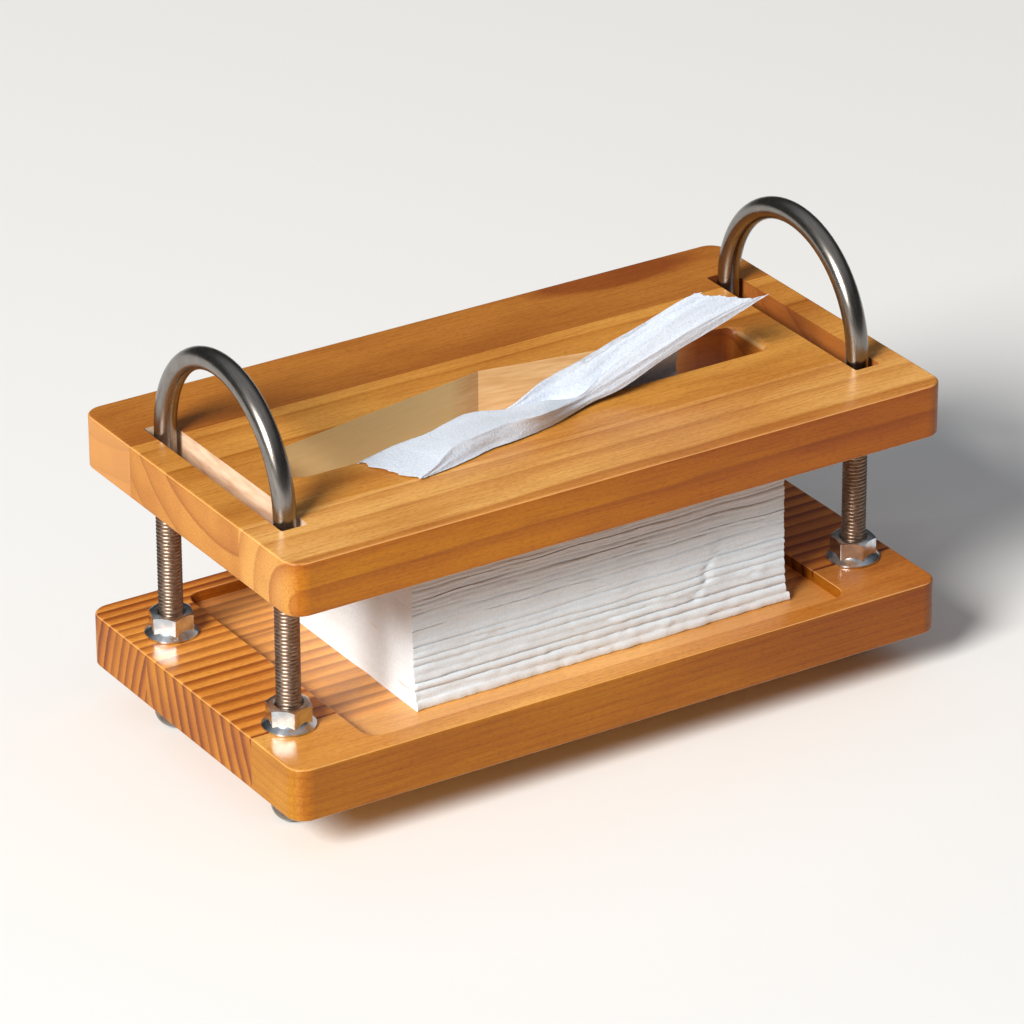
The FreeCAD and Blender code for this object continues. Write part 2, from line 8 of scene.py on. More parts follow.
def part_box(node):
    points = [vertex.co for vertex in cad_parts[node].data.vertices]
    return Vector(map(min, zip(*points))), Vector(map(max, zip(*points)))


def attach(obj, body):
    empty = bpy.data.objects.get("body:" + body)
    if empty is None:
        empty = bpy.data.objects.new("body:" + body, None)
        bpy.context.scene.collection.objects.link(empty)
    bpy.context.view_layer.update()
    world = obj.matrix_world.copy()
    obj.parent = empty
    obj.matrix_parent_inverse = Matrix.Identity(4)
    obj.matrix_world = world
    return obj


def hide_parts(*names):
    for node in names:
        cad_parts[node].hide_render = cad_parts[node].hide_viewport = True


# Tissue holder: a varnished pine board slides on two steel U-bolts and weighs down a pack of
# tissues that lies in the recess of a second board. Flange nuts above the base and dome nuts
# below it clamp each leg, and the dome nuts are the feet.
# Sizes are millimetres until a mesh is made, and MM turns them to metres.

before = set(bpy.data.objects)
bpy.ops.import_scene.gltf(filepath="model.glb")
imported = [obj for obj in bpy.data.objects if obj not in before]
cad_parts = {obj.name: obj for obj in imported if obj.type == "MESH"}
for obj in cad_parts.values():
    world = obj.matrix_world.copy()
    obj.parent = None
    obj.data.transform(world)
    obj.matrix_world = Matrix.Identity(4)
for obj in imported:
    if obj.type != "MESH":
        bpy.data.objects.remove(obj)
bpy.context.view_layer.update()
MM = 0.001


def node_box(node):
    """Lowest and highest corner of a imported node, in millimetres."""
    low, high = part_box(node)
    return low / MM, high / MM


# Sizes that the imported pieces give
BASE_HIGH = node_box("base_board")[1]
TOP_HIGH = node_box("top_board")[1]
PACK_LOW, PACK_HIGH = node_box("tissue_pack")
BOLT_LOW, BOLT_HIGH = node_box("u_bolt_right")
DOME_LOW, DOME_HIGH = node_box("dome_nut_right_front")
FLANGE_LOW, FLANGE_HIGH = node_box("flange_nut_right_front")
THREAD_RADIUS = (BOLT_HIGH.x - BOLT_LOW.x) / 2
BOLT_X = (BOLT_HIGH.x + BOLT_LOW.x) / 2
LEG_Y = -(DOME_HIGH.y + DOME_LOW.y) / 2
BOARD_TOP = TOP_HIGH.z

# Sizes of the recess, of the bent rod and of its rolled thread
RECESS_DEPTH = 4
ROD_RADIUS = 3.65
ARCH_RADIUS = LEG_Y
ARCH_HEIGHT = BOLT_HIGH.z - ROD_RADIUS - ARCH_RADIUS
THREAD_PITCH = 1.25
THREAD_TOP = 90.8
THREAD_RUN_OUT = 3
ROOT_RADIUS = 3.3

# Sizes of the nuts: the turned crown leaves a flat of CROWN_RADIUS on the end of the hexagon,
# and CROWN_DROP is how far it has fallen at CLEAR_RADIUS, outside the corners. Each nut was
# tightened to a turn of its own, in degrees.
NUT_FLATS = 13
NUT_BORE = THREAD_RADIUS + 0.06
CROWN_RADIUS, CROWN_DROP, CLEAR_RADIUS = 6.15, 1.65, 9
DOME_HEXAGON, DOME_BORE_DEPTH, DOME_RADIUS = 6.5, 11, 6.25
NUT_TURNS = {"left_front": 15, "left_back": 12, "right_front": 22, "right_back": 40}


# Modelling

def deselect():
    """Leave edit mode and select nothing."""
    if bpy.context.mode != "OBJECT":
        bpy.ops.object.mode_set(mode="OBJECT")
    bpy.ops.object.select_all(action="DESELECT")


def take(piece):
    """Select one piece alone and make it the active one."""
    deselect()
    piece.select_set(True)
    bpy.context.view_layer.objects.active = piece


def edit(piece, kind="VERT"):
    """Enter edit mode on a piece with nothing selected."""
    take(piece)
    bpy.ops.object.mode_set(mode="EDIT")
    bpy.ops.mesh.select_mode(type=kind)
    bpy.ops.mesh.select_all(action="DESELECT")


def leave():
    """Go back from edit mode to object mode."""
    bpy.ops.object.mode_set(mode="OBJECT")


def named(name):
    """Name the object that an operator has just added, and its mesh."""
    piece = bpy.context.object
    piece.name = name
    piece.data.name = name
    return piece


def settle(piece):
    """Put the place, turn and scale of a piece into its mesh."""
    take(piece)
    bpy.ops.object.transform_apply(location=True, rotation=True, scale=True)


def modify(piece, kind, **settings):
    """Add a modifier with its settings and apply it."""
    take(piece)
    modifier = piece.modifiers.new(kind.lower(), kind)
    for key, value in settings.items():
        setattr(modifier, key, value)
    bpy.ops.object.modifier_apply(modifier=modifier.name)


def outline_object(name, points, closed=False):
    """An object of edges only, from point to point, for a spin or a screw."""
    mesh = bpy.data.meshes.new(name)
    edges = [(i, i + 1) for i in range(len(points) - 1)]
    if closed:
        edges.append((len(points) - 1, 0))
    mesh.from_pydata([Vector(p) * MM for p in points], edges, [])
    piece = bpy.data.objects.new(name, mesh)
    bpy.context.collection.objects.link(piece)
    return piece


def turned(name, outline, steps=64):
    """Spin a half outline of (radius, height) points about the vertical axis."""
    piece = outline_object(name, [(radius, 0, height) for radius, height in outline])
    edit(piece)
    bpy.ops.mesh.select_all(action="SELECT")
    bpy.ops.mesh.spin(steps=steps, angle=math.tau, center=(0, 0, 0), axis=(0, 0, 1))
    bpy.ops.mesh.select_all(action="SELECT")
    bpy.ops.mesh.remove_doubles(threshold=0.01 * MM)
    bpy.ops.mesh.normals_make_consistent(inside=False)
    leave()
    return piece


def boolean(piece, other, operation):
    """Cut, join or trim a piece with another one, which is then gone."""
    modify(piece, "BOOLEAN", operation=operation, object=other, solver="EXACT")
    bpy.data.objects.remove(other)


def copy_of(piece, name, matrix):
    """A copy with a mesh of its own, moved by a matrix."""
    twin = bpy.data.objects.new(name, piece.data.copy())
    twin.data.name = name
    bpy.context.collection.objects.link(twin)
    twin.data.transform(matrix)
    return twin


def soften(piece, degrees=30):
    """Smooth shading, with the edges sharper than the angle left crisp."""
    take(piece)
    bpy.ops.object.shade_smooth_by_angle(angle=math.radians(degrees))


def finish_with(piece, *materials):
    """Give a piece its materials, in the order of its slots."""
    piece.data.materials.clear()
    for material in materials:
        piece.data.materials.append(material)


def joined(*pieces):
    """Several pieces made one object."""
    take(pieces[0])
    for piece in pieces:
        piece.select_set(True)
    bpy.ops.object.join()
    return bpy.context.object


# Materials

def colour(code):
    """Linear colour of an sRGB hex code."""
    channels = [int(code[i:i + 2], 16) / 255 for i in (1, 3, 5)]
    linear = [c / 12.92 if c <= 0.04045 else ((c + 0.055) / 1.055) ** 2.4 for c in channels]
    return (*linear, 1)


def new_material(name, **constants):
    """An empty material with its shader, whose constants sit on the shader's own sockets."""
    material = bpy.data.materials.new(name)
    material.use_nodes = True
    tree = material.node_tree
    shader = tree.nodes["Principled BSDF"]
    for key, value in constants.items():
        shader.inputs[key.replace("_", " ")].default_value = value
    return material, tree, shader


def add(tree, kind, settings=None, links=None):
    """Add a node. Its settings are properties, sockets or the stops of a colour ramp, and its
    links feed sockets."""
    node = tree.nodes.new("ShaderNode" + kind)
    for key, value in (settings or {}).items():
        if key == "stops":
            band = node.color_ramp.elements
            while len(band) < len(value):
                band.new(0.5)
            for element, (position, code) in zip(band, value):
                element.position = position
                element.color = colour(code)
        elif isinstance(key, str) and hasattr(node, key):
            setattr(node, key, value)
        else:
            node.inputs[key].default_value = colour(value) if isinstance(value, str) else value
    for key, source in (links or {}).items():
        tree.links.new(getattr(source, "outputs", [source])[0], node.inputs[key])
    return node


def place_in_mm(tree):
    """The place on the piece in millimetres."""
    coordinates = add(tree, "TexCoord")
    return add(tree, "VectorMath", {"operation": "SCALE", "Scale": 1 / MM},
               {0: coordinates.outputs["Object"]})


def grain(tree, place, scale, detail, seed):
    """Noise whose grains per millimetre differ along X, Y and Z."""
    spot = add(tree, "Mapping", {"Location": (seed, seed, seed), "Scale": scale},
               {"Vector": place})
    return add(tree, "TexNoise", {"Scale": 1.0, "Detail": detail, "Roughness": 0.55},
               {"Vector": spot})


def growth_rings(tree, place, pith, width, start, drift, seed):
    """How many growth rings out a point lies. The pith is (y, z), outside the stave."""
    flat = add(tree, "VectorMath", {"operation": "MULTIPLY", 1: (0, 1, 1)}, {0: place})
    radius = add(tree, "VectorMath", {"operation": "DISTANCE", 1: (0, *pith)}, {0: flat})
    wander = grain(tree, place, (0.009, 0.035, 0.035), 2, seed)
    wander = add(tree, "MapRange", {"To Min": -drift, "To Max": drift}, {"Value": wander})
    fray = grain(tree, place, (0.03, 0.8, 0.8), 2, seed + 3)
    fray = add(tree, "MapRange", {"To Min": -0.35, "To Max": 0.35}, {"Value": fray})
    moved = add(tree, "Math", {"operation": "ADD"}, {0: radius.outputs["Value"], 1: wander})
    moved = add(tree, "Math", {"operation": "ADD"}, {0: moved, 1: fray})
    return add(tree, "Math", {"operation": "MULTIPLY_ADD", 1: 1 / width, 2: start}, {0: moved})


def pine(name, staves, joints, faces, details):
    """Laminated pine boards, planed, eased and varnished: the varnish gives a warm satin gloss
    over straight growth rings. Each stave has rings of its own round a pith outside the board.
    Staves are given from the front to the back, and joints are the glue lines between them.
    Faces are the tints of the level faces, the end grain and the long edges: the end grain is
    darker partly as it soaks up the varnish and partly in painted shade, and the long edges are
    darkened by painted shade. Details is a function that adds what one board alone shows."""
    material, tree, shader = new_material(
        name, Coat_Roughness=0.27, Coat_IOR=1.5, Specular_IOR_Level=0.2)
    place = place_in_mm(tree)
    numbers = add(tree, "SeparateXYZ", None, {0: place})
    normal = add(tree, "SeparateXYZ", None, {0: add(tree, "NewGeometry").outputs["Normal"]})
    facing = {}
    for axis in "XYZ":
        size = add(tree, "Math", {"operation": "ABSOLUTE"}, {0: normal.outputs[axis]})
        facing[axis] = add(tree, "MapRange", {"From Min": 0.45, "From Max": 0.85}, {"Value": size})

    tint = None
    for index, (shape, stops) in enumerate(staves):
        rings = growth_rings(tree, place, *shape)
        within = add(tree, "Math", {"operation": "FRACT"}, {0: rings})
        year = add(tree, "Math", {"operation": "FLOOR"}, {0: rings})
        # A poor year leaves a faint ring
        faint = add(tree, "TexWhiteNoise", {"noise_dimensions": "1D"}, {"W": year})
        faint = add(tree, "MapRange", {"To Min": 0, "To Max": 0.45}, {"Value": faint})
        wood = add(tree, "ValToRGB", {"stops": stops}, {0: within})
        wood = add(tree, "Mix", {"data_type": "RGBA", 7: stops[0][1]},
                   {0: faint, 6: wood}).outputs[2]
        if tint is None:
            tint = wood
            continue
        beyond = add(tree, "Math", {"operation": "GREATER_THAN", 1: joints[index - 1]},
                     {0: numbers.outputs["Y"]})
        tint = add(tree, "Mix", {"data_type": "RGBA"}, {0: beyond, 6: tint, 7: wood}).outputs[2]

    # Resin wanders through the wood in clouds 80 mm long. Fibres are 0.6 mm wide and some 20 mm
    # long, and the pores between them hold more varnish.
    cloud = grain(tree, place, (0.012, 0.04, 0.04), 2, 5)
    fibre = grain(tree, place, (0.05, 1.6, 1.6), 4, 11)
    pore = grain(tree, place, (0.5, 2.4, 2.4), 3, 23)
    level, end, edge = faces
    # The level, end and edge tints: the end grain is darker partly from the varnish it soaks up
    # and partly by painted shade, and the front and back faces by painted shade
    varnish_and_painted_shade = add(tree, "Mix", {"data_type": "RGBA", 6: level, 7: end}, {0: facing["X"]})
    varnish_and_painted_shade = add(tree, "Mix", {"data_type": "RGBA", 7: edge},
                  {0: facing["Y"], 6: varnish_and_painted_shade.outputs[2]})
    layers = [
        (0.8, cloud, [(0.35, "#e2cfb4"), (0.6, "#ffffff")]),
        (0.5, fibre, [(0.34, "#d3bc9c"), (0.54, "#ffffff")]),
        (0.5, pore, [(0.36, "#d8c2a4"), (0.52, "#ffffff")]),
    ]
    tint = add(tree, "Mix", {"data_type": "RGBA", "blend_type": "MULTIPLY", 0: 1.0},
               {6: tint, 7: varnish_and_painted_shade.outputs[2]}).outputs[2]
    for share, pattern, stops in layers:
        layer = add(tree, "ValToRGB", {"stops": stops}, {0: pattern})
        tint = add(tree, "Mix", {"data_type": "RGBA", "blend_type": "MULTIPLY", 0: share},
                   {6: tint, 7: layer}).outputs[2]
    tint = details(tree, place, facing, tint)
    # Painted highlight: the eased edges draw a fine pale line round each face, standing in for the
    # light they catch
    flat = add(tree, "Math", {"operation": "MAXIMUM"}, {0: facing["X"], 1: facing["Y"]})
    eased = add(tree, "Math", {"operation": "MULTIPLY"}, {0: flat, 1: facing["Z"]})
    eased = add(tree, "MapRange", {"From Min": 0.15, "From Max": 0.4, "To Max": 0.42},
                {"Value": eased})
    tint = add(tree, "Mix", {"data_type": "RGBA", 7: "#f3c98c"}, {0: eased, 6: tint}).outputs[2]
    tree.links.new(tint, shader.inputs["Base Color"])
    # End grain and edges soak up the varnish and shine less than the level faces
    gloss = add(tree, "MapRange", {"To Min": 0.18, "To Max": 0.6}, {"Value": facing["Z"]})
    tree.links.new(gloss.outputs[0], shader.inputs["Coat Weight"])
    rough = add(tree, "MapRange", {"To Min": 0.4, "To Max": 0.6}, {"Value": fibre})
    tree.links.new(rough.outputs[0], shader.inputs["Roughness"])
    bump = add(tree, "Bump", {"Strength": 0.25, "Distance": 0.00008}, {"Height": fibre})
    tree.links.new(bump.outputs[0], shader.inputs["Normal"])
    return material


# A stave is its pith (y, z), ring width, start and drift of the rings, a seed, and its colours
# from early wood to late wood.
BASE_STAVES = [
    (((-52, 230), 3.1, 0.2, 1.6, 41),
     [(0.0, "#eeb464"), (0.5, "#ebae5c"), (0.85, "#e0a04c"), (1.0, "#eeb464")]),
    (((-150, 70), 5.7, 0.05, 1.3, 17),
     [(0.0, "#f4b05a"), (0.3, "#eea64a"), (0.58, "#c67828"), (0.8, "#92440a"), (0.93, "#a9590f"),
      (1.0, "#f4b05a")]),
    (((-110, -20), 4.4, 0.4, 1.1, 29),
     [(0.0, "#eca550"), (0.32, "#e2943e"), (0.6, "#b96a1e"), (0.82, "#8c4008"), (0.94, "#a15412"),
      (1.0, "#eca550")]),
]
# The top board's staves are darker from the front to the back: partly their own tone and partly
# painted shade, for the light falling off towards the back
TOP_STAVES = [
    (((-67.5, 88.9), 9.5, 0.3, 1.4, 61),
     [(0.0, "#efb66c"), (0.5, "#ebae62"), (0.8, "#d69248"), (0.93, "#c47e34"), (1.0, "#efb46a")]),
    (((-21.8, 146.6), 11.2, 0.08, 1.0, 71),
     [(0.0, "#e0a04c"), (0.5, "#dc9a46"), (0.84, "#cd8935"), (0.93, "#b8721f"), (1.0, "#e0a04c")]),
    (((62, 187), 10.5, 0.36, 1.6, 83),
     [(0.0, "#c27e32"), (0.6, "#bd782d"), (0.86, "#ab6622"), (0.94, "#985414"), (1.0, "#c27e32")]),
]
BASE_JOINTS = [-38, 27.5]
TOP_JOINTS = [-33.5, 33.3]
# The sawn walls lie deeper than these bands inside the ends and the long sides of the top
# board, and those of a slot within SLOT_REACH of the middle of its bolt.
END_BAND, SIDE_BAND, SLOT_REACH = 8, 15, 8


def base_details(tree, place, facing, tint):
    """The routed floor of the recess has taken less varnish. The wood is darker towards its right
    end: painted shade, for the light falling off to the right and the shade under the top board."""
    numbers = add(tree, "SeparateXYZ", None, {0: place})
    floor = add(tree, "Math", {"operation": "COMPARE", 1: BASE_HIGH.z - RECESS_DEPTH, 2: 0.2},
                {0: numbers.outputs["Z"]})
    floor = add(tree, "Math", {"operation": "MULTIPLY"}, {0: floor, 1: facing["Z"]})
    share = add(tree, "Math", {"operation": "MULTIPLY", 1: 0.26}, {0: floor})
    tint = add(tree, "Mix", {"data_type": "RGBA", 7: "#edba7d"}, {0: share, 6: tint}).outputs[2]
    # Painted shade: darker towards the right end, for the light falling off to the right and the
    # shade under the top board
    run = add(tree, "MapRange", {"From Min": 20, "From Max": 110, "To Max": 0.65},
              {"Value": numbers.outputs["X"]})
    return add(tree, "Mix", {"data_type": "RGBA", "blend_type": "MULTIPLY", 7: "#c9995c"},
               {0: run, 6: tint}).outputs[2]


def top_details(tree, place, facing, tint):
    """The back stave has a knot's dark shadow on its face and a paler end, the front face is
    darker towards the right in painted shade, as the light falls off, and the sawn walls have a
    finish of their own."""
    numbers = add(tree, "SeparateXYZ", None, {0: place})
    knot = add(tree, "Mapping", {"vector_type": "TEXTURE", "Location": (76, 61, TOP_HIGH.z),
                                 "Scale": (40, 11, 8)}, {"Vector": place})
    knot = add(tree, "VectorMath", {"operation": "LENGTH"}, {0: knot}).outputs["Value"]
    swirl = grain(tree, place, (0.03, 0.09, 0.09), 2, 77)
    knot = add(tree, "Math", {"operation": "ADD"}, {0: knot, 1: swirl})
    knot = add(tree, "MapRange", {"From Min": 1.2, "From Max": 1.5, "To Min": 0.75, "To Max": 0},
               {"Value": knot})
    tint = add(tree, "Mix", {"data_type": "RGBA", "blend_type": "MULTIPLY", 7: "#c99c6c"},
               {0: knot, 6: tint})
    beyond = add(tree, "MapRange", {"From Min": TOP_JOINTS[1], "From Max": TOP_JOINTS[1] + 0.4,
                                    "To Max": 0.36}, {"Value": numbers.outputs["Y"]})
    back_end = add(tree, "Math", {"operation": "MULTIPLY"}, {0: beyond, 1: facing["X"]})
    tint = add(tree, "Mix", {"data_type": "RGBA", 7: "#ecae62"},
               {0: back_end, 6: tint.outputs[2]})
    # Painted shade: the long faces darken towards the right, for the light falling off to the
    # right
    run = add(tree, "MapRange", {"From Min": -60, "From Max": 110, "To Max": 0.6},
              {"Value": numbers.outputs["X"]})
    run = add(tree, "Math", {"operation": "MULTIPLY"}, {0: run, 1: facing["Y"]})
    tint = add(tree, "Mix", {"data_type": "RGBA", "blend_type": "MULTIPLY", 7: "#c9995c"},
               {0: run, 6: tint.outputs[2]})
    return sawn_walls(tree, place, facing, tint.outputs[2])


def sawn_walls(tree, place, facing, tint):
    """The walls of the slots and of the opening: pale and unvarnished at the left, and brushed
    with varnish at the right end. The left half of the opening's walls is painted paler: painted
    light, as if it were lit as well as the right half."""
    numbers = add(tree, "SeparateXYZ", None, {0: place})
    along = add(tree, "Math", {"operation": "ABSOLUTE"}, {0: numbers.outputs["X"]})
    across = add(tree, "Math", {"operation": "ABSOLUTE"}, {0: numbers.outputs["Y"]})
    inner_x = add(tree, "Math", {"operation": "LESS_THAN", 1: TOP_HIGH.x - END_BAND}, {0: along})
    inner_y = add(tree, "Math", {"operation": "LESS_THAN", 1: TOP_HIGH.y - SIDE_BAND},
                  {0: across})
    upright = add(tree, "MapRange", {"To Min": 1, "To Max": 0}, {"Value": facing["Z"]})
    inside = add(tree, "Math", {"operation": "MULTIPLY"}, {0: inner_x, 1: inner_y})
    inside = add(tree, "Math", {"operation": "MULTIPLY"}, {0: inside, 1: upright})
    dry = add(tree, "MapRange", {"From Min": 45, "From Max": 75, "To Min": 0.95, "To Max": 0.12},
              {"Value": numbers.outputs["X"]})
    wall = add(tree, "Math", {"operation": "MULTIPLY"}, {0: inside, 1: dry})
    streak = grain(tree, place, (0.02, 0.4, 0.9), 3, 91)
    sawn = add(tree, "ValToRGB", {"stops": [(0.3, "#e0ae74"), (0.5, "#ecbe86"), (0.7, "#f6ce9a")]},
               {0: streak})
    end_grain = grain(tree, place, (0.3, 0.12, 0.5), 4, 37)
    slot = add(tree, "ValToRGB", {"stops": [(0.3, "#d4ae90"), (0.5, "#e6c8aa"), (0.7, "#f0d8be")]},
               {0: end_grain})
    # Painted light: the walls of the left half of the opening are made paler, as if lit as well as
    # the right half
    painted_light_left = add(tree, "MapRange", {"From Min": -12, "From Max": -4, "To Min": 0.75, "To Max": 0},
               {"Value": numbers.outputs["X"]})
    sawn = add(tree, "Mix", {"data_type": "RGBA", 7: "#ffe2a4"}, {0: painted_light_left, 6: sawn}).outputs[2]
    outer = add(tree, "Math", {"operation": "GREATER_THAN", 1: BOLT_X - SLOT_REACH}, {0: along})
    pale = add(tree, "Mix", {"data_type": "RGBA"}, {0: outer, 6: sawn, 7: slot})
    tint = add(tree, "Mix", {"data_type": "RGBA"}, {0: wall, 6: tint, 7: pale.outputs[2]})
    stained = add(tree, "Math", {"operation": "MULTIPLY_ADD", 1: -1, 2: 0.85}, {0: dry})
    stained = add(tree, "Math", {"operation": "MULTIPLY"}, {0: stained, 1: inside})
    return add(tree, "Mix", {"data_type": "RGBA", "blend_type": "MULTIPLY", 7: "#cc9440"},
               {0: stained, 6: tint.outputs[2]}).outputs[2]


def satin_steel():
    """Stainless steel rod, cold drawn and dulled by handling: dark, with one crisp highlight
    along the bend and faint streaks. The scratches are 0.3 mm wide, coarser than the real
    ones, to show."""
    material, tree, shader = new_material("stainless_steel_satin_drawn", Metallic=1)
    place = place_in_mm(tree)
    scratch = grain(tree, place, (3.2, 0.25, 0.25), 3, 7)
    tint = add(tree, "ValToRGB", {"stops": [(0.3, "#837e79"), (0.7, "#96918b")]}, {0: scratch})
    tree.links.new(tint.outputs[0], shader.inputs["Base Color"])
    rough = add(tree, "MapRange", {"To Min": 0.22, "To Max": 0.3}, {"Value": scratch})
    tree.links.new(rough.outputs[0], shader.inputs["Roughness"])
    return material


def rolled_thread():
    """Rolled stainless thread: duller and browner than the rod, with oil held in the grooves."""
    material, tree, shader = new_material("stainless_steel_rolled_thread", Metallic=1)
    place = place_in_mm(tree)
    grime = grain(tree, place, (0.6, 0.6, 1.6), 4, 31)
    tint = add(tree, "ValToRGB",
               {"stops": [(0.3, "#87705f"), (0.5, "#a18b7a"), (0.75, "#bcada0")]}, {0: grime})
    tree.links.new(tint.outputs[0], shader.inputs["Base Color"])
    rough = add(tree, "MapRange", {"To Min": 0.34, "To Max": 0.46}, {"Value": grime})
    tree.links.new(rough.outputs[0], shader.inputs["Roughness"])
    return material


def plated(name, dark, light, low, high):
    """Plated steel, pressed and barrelled: a bright coat with a cloudy bloom 2 mm across."""
    material, tree, shader = new_material(name, Metallic=1)
    place = place_in_mm(tree)
    bloom = grain(tree, place, (0.45, 0.45, 0.45), 2, 47)
    tint = add(tree, "ValToRGB", {"stops": [(0.3, dark), (0.7, light)]}, {0: bloom})
    tree.links.new(tint.outputs[0], shader.inputs["Base Color"])
    rough = add(tree, "MapRange", {"To Min": low, "To Max": high}, {"Value": bloom})
    tree.links.new(rough.outputs[0], shader.inputs["Roughness"])
    return material


def tissue_paper(name, light, shade, strength, glow, painted_board_shade):
    """Soft tissue paper, creped and embossed: matt white with fuzz and 0.8 mm crinkles, which are
    coarser than the real ones, to show. Glow is how much of the light passes through the sheet.
    The last argument is how strongly the paper is darkened to a warm brown towards the top:
    painted shade of the board above and a painted warm reflection of its wood."""
    material, tree, shader = new_material(
        name, Roughness=0.95, Sheen_Weight=0.15, Sheen_Roughness=0.6, Specular_IOR_Level=0.1,
        Subsurface_Weight=glow, Subsurface_Radius=(1, 1, 1), Subsurface_Scale=0.0004)
    place = place_in_mm(tree)
    numbers = add(tree, "SeparateXYZ", None, {0: place})
    crepe = grain(tree, place, (1.3, 1.3, 1.3), 4, 53)
    tint = add(tree, "ValToRGB", {"stops": [(0.3, shade), (0.6, light)]}, {0: crepe})
    # Painted shade: darker and warmer towards the top, for the board's shadow and the warm light
    # its wood reflects onto the paper
    height = add(tree, "MapRange", {"From Min": 48, "From Max": 82, "To Max": painted_board_shade},
                 {"Value": numbers.outputs["Z"]})
    tint = add(tree, "Mix", {"data_type": "RGBA", "blend_type": "MULTIPLY", 7: "#bc9b84"},
               {0: height, 6: tint}).outputs[2]
    tree.links.new(tint, shader.inputs["Base Color"])
    bump = add(tree, "Bump", {"Strength": strength, "Distance": 0.00025}, {"Height": crepe})
    tree.links.new(bump.outputs[0], shader.inputs["Normal"])
    return material


# Boards

finish_with(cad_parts["base_board"],
            pine("pine_red_varnished", BASE_STAVES, BASE_JOINTS,
                 ("#fffdee", "#c6b556", "#bc9c31"), base_details))
finish_with(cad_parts["top_board"],
            pine("pine_honey_varnished", TOP_STAVES, TOP_JOINTS,
                 ("#fffdf0", "#dcd4b4", "#ccaa28"), top_details))


# U-bolts

def plain_rod(side):
    """The bright rod: a ring pulled up from the thread, spun over the arch and pulled down."""
    bpy.ops.mesh.primitive_circle_add(
        vertices=40, radius=ROD_RADIUS * MM, fill_type="NOTHING",
        location=Vector((side * BOLT_X, -LEG_Y, THREAD_TOP - THREAD_PITCH)) * MM)
    rod = named("rod")
    settle(rod)
    edit(rod)
    straight = (ARCH_HEIGHT - THREAD_TOP + THREAD_PITCH) * MM
    bpy.ops.mesh.select_all(action="SELECT")
    bpy.ops.mesh.extrude_region_move(TRANSFORM_OT_translate={"value": (0, 0, straight)})
    bpy.ops.mesh.spin(steps=40, angle=math.pi, axis=(1, 0, 0),
                      center=Vector((side * BOLT_X, 0, ARCH_HEIGHT)) * MM)
    bpy.ops.mesh.extrude_region_move(TRANSFORM_OT_translate={"value": (0, 0, -straight)})
    bpy.ops.mesh.select_all(action="SELECT")
    bpy.ops.mesh.remove_doubles(threshold=0.01 * MM)
    bpy.ops.mesh.normals_make_consistent(inside=False)
    leave()
    return rod


def thread(side, end):
    """A rolled thread: one tooth of the profile, screwed up the leg and cut level at both ends.
    At the top it runs out into the rod."""
    low = BOLT_LOW.z
    turns = int((THREAD_TOP - low) / THREAD_PITCH) + 2
    start = low - THREAD_PITCH
    flat = THREAD_PITCH / 8
    tooth = [(ROOT_RADIUS, 0), (ROOT_RADIUS + 0.1, flat), (THREAD_RADIUS, 3.2 * flat),
             (THREAD_RADIUS, 4.2 * flat), (ROOT_RADIUS + 0.1, 6.4 * flat),
             (ROOT_RADIUS, THREAD_PITCH)]
    piece = outline_object("thread", [(r, 0, start + h) for r, h in tooth])
    modify(piece, "SCREW", angle=math.tau, screw_offset=THREAD_PITCH * MM, iterations=turns,
           steps=28, render_steps=28, use_merge_vertices=True, merge_threshold=0.01 * MM)
    run_out = THREAD_TOP - THREAD_RUN_OUT
    for vertex in piece.data.vertices:
        radius = math.hypot(vertex.co.x, vertex.co.y) / MM
        share = min(max((vertex.co.z / MM - run_out) / THREAD_RUN_OUT, 0), 1)
        wanted = radius + (ROD_RADIUS - 0.02 - radius) * share
        vertex.co.x *= wanted / radius
        vertex.co.y *= wanted / radius
    edit(piece)
    bpy.ops.mesh.select_all(action="SELECT")
    bpy.ops.mesh.bisect(plane_co=(0, 0, low * MM), plane_no=(0, 0, -1), clear_outer=True,
                        use_fill=True)
    bpy.ops.mesh.select_all(action="SELECT")
    bpy.ops.mesh.bisect(plane_co=(0, 0, THREAD_TOP * MM), plane_no=(0, 0, 1),
                        clear_outer=True, use_fill=True)
    bpy.ops.mesh.select_all(action="SELECT")
    bpy.ops.mesh.normals_make_consistent(inside=False)
    leave()
    piece.data.transform(Matrix.Translation(Vector((side * BOLT_X, end * LEG_Y, 0)) * MM))
    return piece


def u_bolt(name, node, side, steel, dull):
    """The bright rod and its two dull threads as one piece."""
    rod = plain_rod(side)
    finish_with(rod, steel)
    legs = [thread(side, end) for end in (-1, 1)]
    for leg in legs:
        finish_with(leg, dull)
    bolt = joined(rod, *legs)
    bolt.name = name
    bolt.data.name = name
    soften(bolt, 40)
    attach(bolt, "base")
    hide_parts(node)


steel = satin_steel()
dull = rolled_thread()
u_bolt("bent_bolt_left", "u_bolt_left", -1, steel, dull)
u_bolt("bent_bolt_right", "u_bolt_right", 1, steel, dull)


# Nuts

def hexagon(low, high):
    """A hexagonal bar with two corners on the X axis and its edges broken."""
    corner = NUT_FLATS / math.sqrt(3)
    bpy.ops.mesh.primitive_cylinder_add(
        vertices=6, radius=corner * MM, depth=(high - low) * MM,
        location=(0, 0, (low + high) / 2 * MM), rotation=(0, 0, math.radians(30)))
    bar = named("hexagon")
    settle(bar)
    modify(bar, "BEVEL", width=0.22 * MM, segments=3, limit_method="ANGLE")
    return bar


